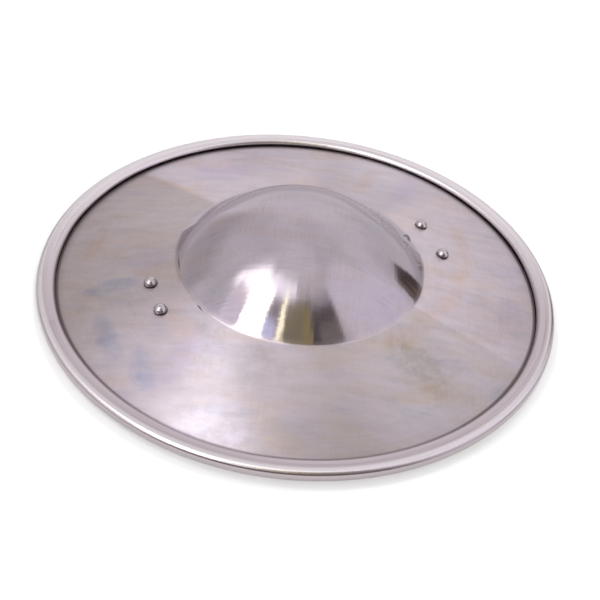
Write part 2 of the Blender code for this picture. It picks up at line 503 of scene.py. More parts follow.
@dataclass(frozen=True)
class Sector:
    """A darker stretch of the sheet between two azimuths, in degrees round its middle."""

    middle: float
    before: float
    after: float
    before_soft: float
    after_soft: float
    tint: Colour

    def mask(self, x: Value, y: Value) -> Value:
        """Share of the darker stretch at a point.

        Args:
            x: the point's X.
            y: the point's Y.

        Returns:
            1 between the two azimuths and 0 outside them.
        """
        middle = radians(self.middle)
        along = x * cos(middle) + y * sin(middle)
        turn = (y * cos(middle) - x * sin(middle)).angle_to(along) * degrees(1)
        start = turn.rise(-self.before - self.before_soft, -self.before)
        return start * turn.fall(self.after, self.after + self.after_soft)


PEACH = (1.0, 0.90, 0.80)
BLUE = (0.70, 0.79, 0.95)
VIOLET = (0.93, 0.90, 1.0)
OCHRE = (1.0, 0.94, 0.82)
# Painted highlight: tints above 1 that paint the window's reflected streak on the face.
PAINTED_HIGHLIGHT = (1.21, 1.24, 1.26)
SHINE = (1.14, 1.16, 1.18)
# Painted shade: tints that darken parts of the face, the second one also warmer.
PAINTED_SHADE = (0.85, 0.85, 0.84)
WARM_PAINTED_SHADE = (0.85, 0.85, 0.77)
# Dark marks at the boss's foot; two of them paint a rivet's reflection.
DARK_MARK = (0.30, 0.28, 0.28)


@dataclass(frozen=True)
class SheetSpot:
    """A shaded point of the sheet: its place, its zones and the fine unevenness there.

    The zones face, rim and back are 1 on what they name and 0 off it. past_lip is how far
    out the point is from the raw edge, and strays moves it about along X and Y.
    """

    place: Value
    x: Value
    y: Value
    z: Value
    radius: Value
    past_lip: Value
    wiped: Value
    face: Value
    rim: Value
    back: Value
    rings: Value
    hairs: tuple[Value, Value]
    warm: Value
    cool: Value
    strays: tuple[Value, Value]

    def strayed(self, by: float) -> tuple[Value, Value]:
        """The point's X and Y moved about, which makes an edge ragged."""
        return self.x + self.strays[0] * by, self.y + self.strays[1] * by


@dataclass(frozen=True)
class SheetSteel(Finish):
    """The shield's steel: a mirror-like boss, a satin face with faint coloured patches, a bright
    rim; painted highlights and painted shade on face, roll and groove.

    Lengths are in metres. The pairs sheen, haze_depth and hair_depth say how strong a
    pattern is on the boss and on the face, and ring_depth off the roll and on it. A pair of
    edges gives the random values between which a pattern starts and is full. The flanks of
    the roll and the groove are placed by how far out they are from the raw edge.
    """

    boss_radius: float = 0.0867
    boss_edge: float = 0.004
    lip_radius: float = 0.1657
    rim_edge: float = 0.0004
    faces_down: tuple[float, float] = (-0.3, -0.1)
    boss_colour: Colour = (0.43, 0.387, 0.418)
    face_colour: Colour = (0.613, 0.549, 0.584)
    rim_colour: Colour = (0.67, 0.63, 0.635)
    back_colour: Colour = (0.42, 0.39, 0.39)
    # Darkest tone: the haze and the hairlines use it as dirt on the steel, the groove as painted
    # shade.
    grime_and_shade: Colour = (0.16, 0.13, 0.13)
    warm_stain: Colour = (1.0, 0.955, 0.88)
    cool_stain: Colour = (0.92, 0.955, 1.0)
    boss_rough: float = 0.14
    face_rough: float = 0.31
    outer_face_rough: float = 0.47
    rim_rough: float = 0.235
    back_rough: float = 0.42
    ring_grain: float = 0.9
    quarter_turn: float = 0.25
    hairline: float = 0.0010
    hair_length: float = 0.025
    hairline_tilt: float = 0.05
    hairline_tilt_on_rim: float = 0.0075
    hair_edges: tuple[float, float] = (0.42, 0.72)
    hair_depth: tuple[float, float] = (0.136, 0.0765)
    hair_least: float = 0.3
    wiping: float = radians(27.8)
    wiped_shape: tuple[float, float, float] = (0.55, 1.5, 1.0)
    ring_pitch: float = 0.0011
    ring_drift: float = 2.0
    stray_lumps: float = 45.0
    stray_shift: float = 0.7
    sector_stray: float = 0.003
    oval_and_rim_stray: float = 0.014
    # Darker wedges of the face; the first two are painted shade where the steel mirrors the room's
    # darker parts.
    darker_sectors: tuple[Sector, ...] = (
        Sector(-82, 20, 29, 18, 1.6, (0.875, 0.885, 0.85)),
        Sector(152, 36, 24, 4, 26, (0.755, 0.745, 0.70)),
        Sector(41, 12, 12, 14, 14, (0.82, 0.83, 0.84)),
    )
    tinted_ovals: tuple[TintedOval, ...] = (
        # These two and the one at -146 paint the window's reflected streak as a highlight.
        TintedOval(-132, 0.158, 0.022, 0.034, PAINTED_HIGHLIGHT),
        TintedOval(-132, 0.163, 0.014, 0.024, SHINE),
        # These four paint shade on the face.
        TintedOval(-127, 0.111, 0.020, 0.022, PAINTED_SHADE),
        TintedOval(-131, 0.100, 0.016, 0.014, PAINTED_SHADE),
        TintedOval(-70, 0.121, 0.030, 0.018, PAINTED_SHADE),
        TintedOval(-74, 0.119, 0.024, 0.014, WARM_PAINTED_SHADE),
        TintedOval(-146, 0.108, 0.024, 0.024, PAINTED_HIGHLIGHT),
        # The rest are coloured patches on the steel itself.
        TintedOval(172, 0.131, 0.020, 0.0060, BLUE, 4),
        TintedOval(-171, 0.144, 0.018, 0.0060, BLUE, 82),
        TintedOval(-156, 0.141, 0.015, 0.0060, BLUE, 62),
        TintedOval(162, 0.104, 0.015, 0.0130, VIOLET),
        TintedOval(-161, 0.103, 0.018, 0.0090, PEACH, 70),
        TintedOval(-151, 0.124, 0.026, 0.0080, VIOLET, 8),
        TintedOval(-118, 0.150, 0.016, 0.0090, OCHRE, 60),
        TintedOval(-92, 0.094, 0.040, 0.0060, OCHRE, 90),
        TintedOval(-62, 0.096, 0.026, 0.0070, PEACH, 84),
        TintedOval(-78, 0.136, 0.022, 0.0060, OCHRE, 80),
        TintedOval(-38, 0.106, 0.018, 0.0060, PEACH, 66),
        TintedOval(-22, 0.114, 0.016, 0.0060, PEACH, 62),
        TintedOval(-2, 0.126, 0.018, 0.0060, PEACH, 76),
        TintedOval(-34, 0.147, 0.016, 0.0080, VIOLET, 84),
        TintedOval(42, 0.121, 0.022, 0.0050, PEACH, 6),
        TintedOval(29, 0.134, 0.024, 0.0090, VIOLET, 20),
        TintedOval(95, 0.128, 0.020, 0.0140, VIOLET, 60),
        TintedOval(114, 0.128, 0.034, 0.0040, PEACH, 4),
        TintedOval(150, 0.143, 0.022, 0.0045, PEACH, 84),
    )
    # Dark marks at the boss's foot.
    dark_marks: tuple[TintedOval, ...] = (
        TintedOval(-162, 0.0864, 0.0030, 0.0005, DARK_MARK, 84),
        # This pair paints a rivet's reflection in the hollow at the boss's foot as a dark mark.
        TintedOval(-1, 0.0840, 0.0040, 0.0012, DARK_MARK, 72),
        TintedOval(1, 0.0830, 0.0026, 0.0010, DARK_MARK, 30),
        TintedOval(168, 0.0838, 0.0060, 0.0004, DARK_MARK, 88),
    )
    warm_patches: Patches = Patches(34, 0.46, 0.64, detail=5, rough=0.6, warp=0.6)
    cool_patches: Patches = Patches(38, 0.50, 0.66, detail=5, rough=0.6, warp=0.6)
    cool_shift: float = 0.3
    sheen: tuple[float, float] = (0.55, 0.80)
    oval_patches: Patches = Patches(110, 0.35, 0.65, detail=5, rough=0.65)
    oval_depth: tuple[float, float] = (0.35, 0.85)
    haze_patches: Patches = Patches(90, 0.35, 0.70, detail=8, rough=0.68)
    haze_depth: tuple[float, float] = (0.05, 0.13)
    ring_edges: tuple[float, float] = (0.5, 0.8)
    ring_depth: tuple[float, float] = (0.05, 0.20)
    # Painted shade on the roll's flanks on the near side, sparing the crown where the highlight
    # falls.
    rim_painted_shade: Sector = Sector(-100, 75, 60, 65, 45, (0.72, 0.68, 0.70))
    inner_flank: tuple[float, float] = (0.0068, 0.0088)
    outer_flank: tuple[float, float] = (0.0106, 0.0113)
    # Painted shade on the face just inside the groove on the far side, where the face mirrors the
    # dark gap under the raw edge.
    far_groove_shade: Sector = Sector(85, 22, 22, 110, 80, (0.34, 0.31, 0.32))
    far_shade_width: float = 0.009
    far_shade_fade: float = 1.6
    # Painted shade in the groove under the raw edge, all round.
    groove: tuple[float, float, float] = (-0.0003, 0.0009, 0.0017)
    groove_top: tuple[float, float] = (0.0058, 0.0068)
    groove_depth: float = 0.9
    rough_patches: float = 60.0
    rough_least: float = 0.88
    rough_by_patch: float = 0.16
    rough_by_ring: float = 0.08

    def spot(self, graph: Graph) -> SheetSpot:
        """Work out where a shaded point is, and the fine unevenness there.

        Args:
            graph: the tree being built.

        Returns:
            The point.
        """
        place = graph.place()
        x, y, z = graph.axes(place)
        radius = (x * x + y * y).root()
        past_lip = radius - self.lip_radius
        rim = past_lip.rise(-self.rim_edge, self.rim_edge)
        _, _, facing = graph.axes(graph.node("ShaderNodeNewGeometry", output="True Normal"))
        wiped = graph.stretched(place, self.wiped_shape, self.wiping)
        fine, long = 1 / self.hairline, 1 / self.hair_length
        around = graph.join(radius / self.ring_pitch, z / self.ring_pitch,
                            y.angle_to(x) * self.ring_drift)
        return SheetSpot(
            place=place, x=x, y=y, z=z, radius=radius, past_lip=past_lip, wiped=wiped,
            face=radius.rise(self.boss_radius - self.boss_edge, self.boss_radius), rim=rim,
            back=facing.fall(*self.faces_down) * (1 - rim),
            rings=graph.noise(around, 1.0, detail=2),
            hairs=tuple(graph.noise(graph.stretched(place, scale, self.wiping), 1.0, detail=3)
                        for scale in ((fine, long, long), (long, fine, long))),
            warm=self.warm_patches.over(graph, wiped),
            cool=self.cool_patches.over(graph, graph.shifted(wiped, self.cool_shift)),
            strays=tuple(graph.noise(start, self.stray_lumps, detail=4, rough=0.6) - NOISE_MIDDLE
                         for start in (place, graph.shifted(place, self.stray_shift))))

    def surface(self, graph: Graph) -> Value:
        """Build the shader.

        Args:
            graph: the tree being built.

        Returns:
            The shader, with its grain round the shield on the sheet and across it on the roll.
        """
        spot = self.spot(graph)
        tilt = spot.rim.blend(self.hairline_tilt, self.hairline_tilt_on_rim)
        shared = {
            "Base Color": self.coloured(graph, spot),
            "Metallic": 1.0,
            "Roughness": self.roughness(graph, spot),
            "Anisotropic": self.ring_grain,
            "Normal": graph.leaned(*((hair - NOISE_MIDDLE) * tilt for hair in spot.hairs))}
        round_it, across_it = (
            graph.node("ShaderNodeBsdfPrincipled", links={**shared, "Anisotropic Rotation": turn})
            for turn in (self.quarter_turn, 0.0))
        return graph.node("ShaderNodeMixShader", links={0: spot.rim, 1: round_it, 2: across_it})

    def coloured(self, graph: Graph, spot: SheetSpot) -> Value:
        """Colour of each zone, with its coloured patches, dark marks, painted highlights and
        painted shade.

        Args:
            graph: the tree being built.
            spot: the shaded point.

        Returns:
            The base colour.
        """
        colour = self.hazed(graph, spot, self.boss_and_face_colour(graph, spot))
        # Painted shade on the near side's roll flanks.
        flanks = spot.past_lip.fall(*self.inner_flank) + spot.past_lip.rise(*self.outer_flank)
        rim_shaded = self.rim_painted_shade.mask(*spot.strayed(self.oval_and_rim_stray)) * flanks
        colour = graph.mix(spot.rim, colour,
                           graph.tinted(self.rim_colour, rim_shaded, self.rim_painted_shade.tint))
        colour = graph.mix(spot.back, colour, self.back_colour)
        streaks = spot.rings.rise(*self.ring_edges) * spot.rim.blend(*self.ring_depth)
        colour = graph.mix(streaks, colour, BLACK)
        # Painted shade on the face inside the far groove.
        near_groove = spot.past_lip.rise(-self.far_shade_width, 0.0) ** self.far_shade_fade
        shade_mask = near_groove * self.far_groove_shade.mask(spot.x, spot.y) * (1 - spot.rim)
        colour = graph.tinted(colour, shade_mask, self.far_groove_shade.tint)
        # Painted shade in the groove under the raw edge.
        groove = spot.past_lip.band(*self.groove) * spot.z.fall(*self.groove_top)
        return graph.mix(groove * self.groove_depth, colour, self.grime_and_shade)

    def boss_and_face_colour(self, graph: Graph, spot: SheetSpot) -> Value:
        """Colour of the boss and the face, with warm and cool patches, coloured ovals, dark marks,
        painted highlights and painted shade.

        Args:
            graph: the tree being built.
            spot: the shaded point.

        Returns:
            The colour.
        """
        colour = graph.mix(spot.face, self.boss_colour, self.face_colour)
        sheen = spot.face.blend(*self.sheen)
        colour = graph.tinted(colour, spot.warm * sheen, self.warm_stain)
        colour = graph.tinted(colour, spot.cool * sheen, self.cool_stain)
        strayed = spot.strayed(self.sector_stray)
        # Darker wedges of the face, the first two painted shade.
        for sector in self.darker_sectors:
            colour = graph.tinted(colour, sector.mask(*strayed) * spot.face, sector.tint)
        depth = self.oval_patches.over(graph, spot.place).blend(*self.oval_depth)
        strayed = spot.strayed(self.oval_and_rim_stray)
        # Coloured patches, painted highlights and painted shade.
        for tinted_oval in self.tinted_ovals:
            colour = graph.tinted(colour, tinted_oval.mask(*strayed) * depth, tinted_oval.tint)
        # Dark marks, two of them a painted reflection of a rivet.
        for mark in self.dark_marks:
            colour = graph.tinted(colour, mark.mask(spot.x, spot.y), mark.tint)
        return colour

    def hazed(self, graph: Graph, spot: SheetSpot, colour: Value) -> Value:
        """A colour under the haze and the crossing hairlines that wiping leaves.

        Args:
            graph: the tree being built.
            spot: the shaded point.
            colour: the colour without them.

        Returns:
            The colour with them.
        """
        haze = self.haze_patches.over(graph, spot.wiped) * spot.face.blend(*self.haze_depth)
        colour = graph.mix(haze, colour, self.grime_and_shade)
        depth = spot.face.blend(*self.hair_depth)
        for hair, patch in zip(spot.hairs, (spot.warm, spot.cool)):
            shade = hair.rise(*self.hair_edges) * patch.blend(self.hair_least, 1.0) * depth
            colour = graph.mix(shade, colour, self.grime_and_shade)
        return colour

    def roughness(self, graph: Graph, spot: SheetSpot) -> Value:
        """Roughness of each zone, uneven in patches and rings.

        Args:
            graph: the tree being built.
            spot: the shaded point.

        Returns:
            The roughness.
        """
        outer = spot.radius.rise(self.boss_radius, self.lip_radius)
        zone = spot.face.blend(self.boss_rough,
                               outer.blend(self.face_rough, self.outer_face_rough))
        zone = spot.back.blend(spot.rim.blend(zone, self.rim_rough), self.back_rough)
        patches = graph.noise(spot.place, self.rough_patches, detail=4)
        return zone * (self.rough_least + patches * self.rough_by_patch
                       + spot.rings * self.rough_by_ring)


@dataclass(frozen=True)
class RivetSteel(Finish):
    """Steel of the rivets, bright on the heads, with dirt and painted shade where they meet the
    sheet.
    """

    colour: Colour = (0.50, 0.465, 0.48)
    worn: Colour = (0.38, 0.35, 0.36)
    blotch_scale: float = 700.0
    blotch_edges: tuple[float, float] = (0.42, 0.68)
    # Dirt and painted shade in a band round the foot of the head.
    grime_and_shade: Colour = (0.07, 0.055, 0.055)
    foot_band_height: float = 0.0007
    foot_band_depth: float = 0.8
    rough: float = 0.19
    rough_by_blotch: float = 0.1
    rough_by_foot_band: float = 0.3
    height_layer: str = "height_on_sheet"

    def surface(self, graph: Graph) -> Value:
        """Build the shader.

        Args:
            graph: the tree being built.

        Returns:
            The shader.
        """
        blotch = graph.noise(graph.place(), self.blotch_scale, detail=3)
        height = graph.node("ShaderNodeAttribute", {"attribute_name": self.height_layer},
                            output="Fac")
        # Dirt and painted shade round the foot of the head.
        shade_mask = height.band(0.0, self.foot_band_height, self.foot_band_height)
        colour = graph.mix(blotch.rise(*self.blotch_edges), self.colour, self.worn)
        return graph.node("ShaderNodeBsdfPrincipled", links={
            "Base Color": graph.mix(shade_mask * self.foot_band_depth, colour, self.grime_and_shade),
            "Metallic": 1.0,
            "Roughness": (self.rough + blotch * self.rough_by_blotch
                          + shade_mask * self.rough_by_foot_band)})


@dataclass(frozen=True)
class GripSteel(Finish):
    """Plain satin steel of the grip, brushed along its length and darkened by handling."""

    colour: Colour = (0.46, 0.44, 0.44)
    handled: Colour = (0.33, 0.30, 0.29)
    blotch_scale: float = 55.0
    blotch_edges: tuple[float, float] = (0.42, 0.68)
    brush_pitch: float = 0.0004
    brush_length: float = 0.04
    brush_edges: tuple[float, float] = (0.4, 0.7)
    brush_depth: float = 0.16
    brush_tilt: float = 0.08
    rough: float = 0.3
    rough_by_blotch: float = 0.16
    rough_by_brush: float = 0.08

    def surface(self, graph: Graph) -> Value:
        """Build the shader.

        Args:
            graph: the tree being built.

        Returns:
            The shader.
        """
        place = graph.place()
        fine, long = 1 / self.brush_pitch, 1 / self.brush_length
        brushed = graph.noise(graph.stretched(place, (long, fine, fine)), 1.0, detail=3)
        blotch = graph.noise(place, self.blotch_scale, detail=5, rough=0.6)
        handled = graph.mix(blotch.rise(*self.blotch_edges), self.colour, self.handled)
        streaks = brushed.rise(*self.brush_edges) * self.brush_depth
        return graph.node("ShaderNodeBsdfPrincipled", links={
            "Base Color": graph.mix(streaks, handled, BLACK),
            "Metallic": 1.0,
            "Roughness": (self.rough + blotch * self.rough_by_blotch
                          + brushed * self.rough_by_brush),
            "Normal": graph.leaned(0.0, (brushed - NOISE_MIDDLE) * self.brush_tilt)})


@dataclass(frozen=True)
class Paper(Finish):
    """Pale paper that the buckler lies on."""

    colour: Colour = (0.9, 0.9, 0.9)
    fibre: Colour = (0.885, 0.885, 0.885)
    clouds: Patches = Patches(30, 0.4, 0.7, detail=4)
    rough: float = 0.8

    def surface(self, graph: Graph) -> Value:
        """Build the shader.

        Args:
            graph: the tree being built.

        Returns:
            The shader.
        """
        cloudy = self.clouds.over(graph, graph.place())
        return graph.node("ShaderNodeBsdfPrincipled", links={
            "Base Color": graph.mix(cloudy, self.colour, self.fibre), "Roughness": self.rough})


@dataclass(frozen=True)
class Slab(Finish):
    """What polished steel mirrors of a brown board, with a lighter streak up it."""

    board: Colour = (0.10, 0.075, 0.065)
    streak: Colour = (0.30, 0.24, 0.20)
    streaks: Patches = Patches(26, 0.50, 0.62)
    streak_shape: tuple[float, float, float] = (1.0, 1.0, 0.08)

    def surface(self, graph: Graph) -> Value:
        """Build the shader.

        Args:
            graph: the tree being built.

        Returns:
            The shader.
        """
        streak = self.streaks.over(graph, graph.stretched(graph.place(), self.streak_shape))
        return graph.node("ShaderNodeEmission", links={
            "Color": graph.mix(streak, self.board, self.streak)})


@dataclass(frozen=True)
class Cloth(Finish):
    """What polished steel mirrors of a greyish mat."""

    pale: Colour = (0.70, 0.64, 0.70)
    dark: Colour = (0.64, 0.58, 0.64)
    clouds: Patches = Patches(3, 0.35, 0.65)

    def surface(self, graph: Graph) -> Value:
        """Build the shader.

        Args:
            graph: the tree being built.

        Returns:
            The shader.
        """
        cloudy = self.clouds.over(graph, graph.place())
        return graph.node("ShaderNodeEmission", links={
            "Color": graph.mix(cloudy, self.pale, self.dark)})


# ------------------------------------------------------------------ the shield plate
@dataclass
class RaisedPlate:
    """The sheet that is boss, face and rolled rim in one.

    Lengths are in metres and angles in radians. On the side of set_in_towards the boss's
    wall is set in from its circle, and on the side of lip_gape_towards the raw edge gapes.
    Both spans are given as cosines of the turn from the middle of that side.
    """

    outer_radius: float
    boss_top: float
    sheet: float = 0.0015
    roll_width: float = 0.0123
    roll_height: float = 0.0102
    roll_start: float = radians(-150)
    roll_end: float = radians(177)
    roll_square: float = 2 / 3
    face_slope: float = radians(10.2)
    face_level: float = 0.0048
    straight_short: float = 0.0005
    dip_lean: float = radians(55)
    boss_circle: float = 0.0867
    boss_wall: float = 0.0857
    set_in: float = 0.0088
    set_in_skew: float = 0.0025
    set_in_towards: float = radians(64.4)
    set_in_at_foot: tuple[float, float] = (cos(radians(79)), cos(radians(71)))
    set_in_higher_up: tuple[float, float] = (cos(radians(95)), cos(radians(45)))
    set_in_fade: int = 6
    lip_gape: float = radians(6)
    lip_gape_towards: float = radians(65)
    lip_gape_from: float = cos(radians(120))
    lip_gape_full: float = cos(radians(88))
    lip_wave: float = 0.0005
    lip_wave_share: float = 0.3
    lip_waves: float = 3.5
    dents: float = 0.00006
    dent_size: float = 0.032
    finer_dents: float = 2.1
    finer_dent_share: float = 0.5
    dents_from: float = 0.012
    turns: int = 360
    cap_steps: int = 36
    foot_steps: int = 7
    face_steps: int = 20
    dip_steps: int = 6
    roll_steps: int = 44
    edge_round: float = 0.00025
    sharp_edge: float = radians(60)
    crease: float = radians(35)
    finish: Finish = field(default_factory=lambda: SheetSteel("polished_sheet"))

    @property
    def lip_radius(self) -> float:
        """Radius of the raw edge of the rolled rim, where the face ends."""
        return self.outer_radius - self.roll_width

    def face_height(self, radius: float) -> float:
        """Height of the middle of the sheet on the straight part of the face."""
        front = self.face_level + tan(self.face_slope) * (self.lip_radius - radius)
        return front - self.sheet / 2 / cos(self.face_slope)

    def wall_radius(self, azimuth: float, start: float, full: float) -> float:
        """Radius where the bare cap would cut the face, set in on one side.

        Args:
            azimuth: the direction looked in.
            start: cosine of the turn from the middle of that side where the set-in starts.
            full: the same where it is full.

        Returns:
            The radius.
        """
        turn = azimuth - self.set_in_towards
        share = ease((cos(turn) - start) / (full - start))
        return self.boss_wall - share * (self.set_in - self.set_in_skew * sin(turn))

    def boss_line(self, azimuth: float) -> Section:
        """Middle of the sheet over the boss, set in sharply at its foot and gently above.

        Args:
            azimuth: the direction of the section.

        Returns:
            Points from the axis out to the boss's circle on the face.
        """
        low = self.cap_and_foot(self.wall_radius(azimuth, *self.set_in_at_foot))
        high = self.cap_and_foot(self.wall_radius(azimuth, *self.set_in_higher_up))
        points = []
        for i, (a, b) in enumerate(zip(high, low)):
            share = min(i / self.cap_steps, 1.0) ** self.set_in_fade
            points.append((a[0] + (b[0] - a[0]) * share, a[1] + (b[1] - a[1]) * share))
        return points

    def cap_and_foot(self, wall: float) -> Section:
        """Middle of the sheet from the axis to the face.

        Args:
            wall: radius where the bare cap would cut the face.

        Returns:
            Points over the cap and round its foot.
        """
        rise = self.boss_top - self.face_height(wall) - self.sheet / 2 / cos(self.face_slope)
        front_radius = (wall ** 2 + rise ** 2) / 2 / rise
        centre = Vector((0.0, self.boss_top - front_radius))
        cap_radius = front_radius - self.sheet / 2
        circle = Vector((self.boss_circle, self.face_height(self.boss_circle)))
        square = Vector((sin(self.face_slope), cos(self.face_slope)))
        apart = circle - centre
        foot_radius = (apart.length_squared - cap_radius ** 2) / 2 / (cap_radius - apart @ square)
        foot_centre = circle + foot_radius * square
        reach = foot_centre - centre
        touch = atan2(reach.y, reach.x)
        cap = arc(tuple(centre), cap_radius, pi / 2, touch, self.cap_steps)
        foot = arc(tuple(foot_centre), foot_radius, touch + pi, 3 * pi / 2 - self.face_slope,
                   self.foot_steps)
        return cap + foot[1:]

    def roll_line(self, azimuth: float) -> Section:
        """Middle of the sheet round the rolled rim, from below to the raw edge.

        Args:
            azimuth: the direction of the section, because the raw edge gapes on one side
                and is a little wavy.

        Returns:
            Points round the roll.
        """
        centre = (self.outer_radius - self.roll_width / 2, self.roll_height / 2)
        wide, high = (self.roll_width - self.sheet) / 2, (self.roll_height - self.sheet) / 2
        facing = cos(azimuth - self.lip_gape_towards)
        gape = self.lip_gape * ease((facing - self.lip_gape_from)
                                    / (self.lip_gape_full - self.lip_gape_from))
        turn = self.roll_end - gape - self.roll_start
        spot = Vector((cos(azimuth), sin(azimuth), 0.0)) * self.lip_waves
        points = []
        for i in range(self.roll_steps + 1):
            share = i / self.roll_steps
            angle = self.roll_start + turn * share
            near_edge = ease((share - 1 + self.lip_wave_share) / self.lip_wave_share)
            wave = self.lip_wave * near_edge * noise.noise(spot)
            power = self.roll_square if angle > 0 else 1.0
            across, up = (copysign(abs(part) ** power, part) for part in (cos(angle), sin(angle)))
            points.append((centre[0] + wide * across + wave, centre[1] + high * up))
        return points

    def dent(self, radius: float, azimuth: float) -> float:
        """How far the sheet stands off its true shape, from planishing.

        Args:
            radius: distance from the axis.
            azimuth: the direction looked in.

        Returns:
            The rise, or the fall if it is below 0.
        """
        inside = ease((radius - self.dents_from) / self.dents_from)
        inside *= ease((self.lip_radius - radius) / self.dents_from)
        inside *= ease(abs(radius - self.boss_circle) / self.dents_from)
        spot = Vector((radius * cos(azimuth), radius * sin(azimuth), 0.0)) / self.dent_size
        finer = noise.noise(spot * self.finer_dents)
        return self.dents * inside * (noise.noise(spot) + self.finer_dent_share * finer)

    def dip_line(self, start: Point, end: Point) -> Section:
        """The short dip that takes the face down into the roll, as a smooth curve.

        Args:
            start: where the straight face ends.
            end: where the roll starts.

        Returns:
            Points from one to the other.
        """
        reach = hypot(end[0] - start[0], end[1] - start[1]) / 3
        after = (start[0] + reach * cos(self.face_slope), start[1] - reach * sin(self.face_slope))
        before = (end[0] - reach * cos(self.dip_lean), end[1] + reach * sin(self.dip_lean))
        points = []
        for i in range(self.dip_steps + 1):
            t = i / self.dip_steps
            weights = ((1 - t) ** 3, 3 * t * (1 - t) ** 2, 3 * t * t * (1 - t), t ** 3)
            points.append(tuple(sum(w * p[k] for w, p in zip(weights, (start, after, before, end)))
                                for k in range(2)))
        return points

    def section(self, azimuth: float) -> Section:
        """Middle of the sheet in one direction.

        Args:
            azimuth: the direction.

        Returns:
            Points from the axis to the raw edge.
        """
        boss = self.boss_line(azimuth)
        straight_end = self.lip_radius - self.straight_short
        edge = (straight_end, self.face_height(straight_end))
        roll = self.roll_line(azimuth)
        face = between(boss[-1], edge, self.face_steps)
        return boss + face[1:] + self.dip_line(edge, roll[0])[1:] + roll[1:]

    def square_to_face(self, x: float, y: float) -> Matrix:
        """A frame on the front of the face, with +Z square to it.

        Args:
            x: where it stands along X.
            y: where it stands along Y.

        Returns:
            The frame.
        """
        height = self.face_height(hypot(x, y)) + self.sheet / 2 / cos(self.face_slope)
        lean = Matrix.Rotation(self.face_slope, 4, Vector((-y, x, 0)))
        return Matrix.Translation((x, y, height)) @ lean

    def shape_round(self, piece: bpy.types.Object) -> None:
        """Move the spun vertices to the section of their own direction, dents and all.

        Args:
            piece: the plate, spun from one section.
        """
        station = piece.data.attributes[STATION].data
        sections: dict[int, Section] = {}
        for vertex in piece.data.vertices:
            number = station[vertex.index].value
            if number > 0:
                x, y, _ = vertex.co
                step = round(atan2(y, x) / (2 * pi) * self.turns) % self.turns
                azimuth = 2 * pi * step / self.turns
                if step not in sections:
                    sections[step] = self.section(azimuth)
                radius, height = sections[step][number]
                height += self.dent(radius, azimuth)
                vertex.co = (radius * cos(azimuth), radius * sin(azimuth), height)

    def build(self, rivet_places: list[Matrix], hole_radius: float) -> bpy.types.Object:
        """Model the sheet and drill it for its rivets.

        Args:
            rivet_places: frames of the rivets.
            hole_radius: radius of their holes.

        Returns:
            The finished plate.
        """
        line = self.section(0.0)
        plate = draw_chain("raised_plate", line)
        number_vertices(plate, STATION, line)
        spin_round(plate, self.turns)
        self.shape_round(plate)
        plate.data.attributes.remove(plate.data.attributes[STATION])
        apply_modifier(plate, "SOLIDIFY", thickness=self.sheet, offset=0.0)
        apply_modifier(plate, "BEVEL", width=self.edge_round, segments=2,
                       angle_limit=self.sharp_edge)
        drill(plate, rivet_places, hole_radius)
        smooth(plate, self.crease)
        self.finish.dress(plate)
        return plate


# ------------------------------------------------------------------ the rivets
@dataclass
class Rivet:
    """A domed rivet, its shank and its hammered tail. Lengths are in metres."""

    node: str
    grip_thickness: float
    sheet: float
    gap: float = 0.0003
    room_below: float = 0.0009
    head_radius: float = 0.0046
    head_height: float = 0.0042
    shank_radius: float = 0.0024
    tail_radius: float = 0.0040
    tail_height: float = 0.0016
    turns: int = 48
    head_steps: int = 12
    tail_steps: int = 8
    crease: float = radians(40)
    finish: RivetSteel = field(default_factory=lambda: RivetSteel("rivet_head_steel"))

    @property
    def spot(self) -> Point:
        """Where the rivet stands, seen from above."""
        low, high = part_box(self.node)
        return (low.x + high.x) / 2, (low.y + high.y) / 2

    def section(self) -> Section:
        """Outline of the rivet, standing on the origin.

        Returns:
            Points from the top of the head down to the foot of the tail.
        """
        head_ball = (self.head_radius ** 2 + self.head_height ** 2) / 2 / self.head_height
        tail_ball = (self.tail_radius ** 2 + self.tail_height ** 2) / 2 / self.tail_height
        head_rim = atan2(head_ball - self.head_height, self.head_radius)
        tail_rim = atan2(tail_ball - self.tail_height, self.tail_radius)
        under_grip = -(self.sheet + self.grip_thickness + self.room_below)
        head = arc((0, self.gap + self.head_height - head_ball), head_ball, pi / 2, head_rim,
                   self.head_steps)
        tail = arc((0, under_grip - self.tail_height + tail_ball), tail_ball, -tail_rim, -pi / 2,
                   self.tail_steps)
        shank = [(self.shank_radius, self.gap), (self.shank_radius, under_grip)]
        return head + shank + tail

    def build(self, place: Matrix) -> bpy.types.Object:
        """Model the rivet on the face.

        Args:
            place: its frame, with +Z square to the face.

        Returns:
            The finished rivet.
        """
        rivet = draw_chain(f"domed_{self.node}", self.section())
        spin_round(rivet, self.turns)
        heights = rivet.data.attributes.new(self.finish.height_layer, "FLOAT", "POINT")
        for vertex in rivet.data.vertices:
            heights.data[vertex.index].value = vertex.co.z
        rivet.data.transform(place)
        smooth(rivet, self.crease)
        self.finish.dress(rivet)
        return rivet


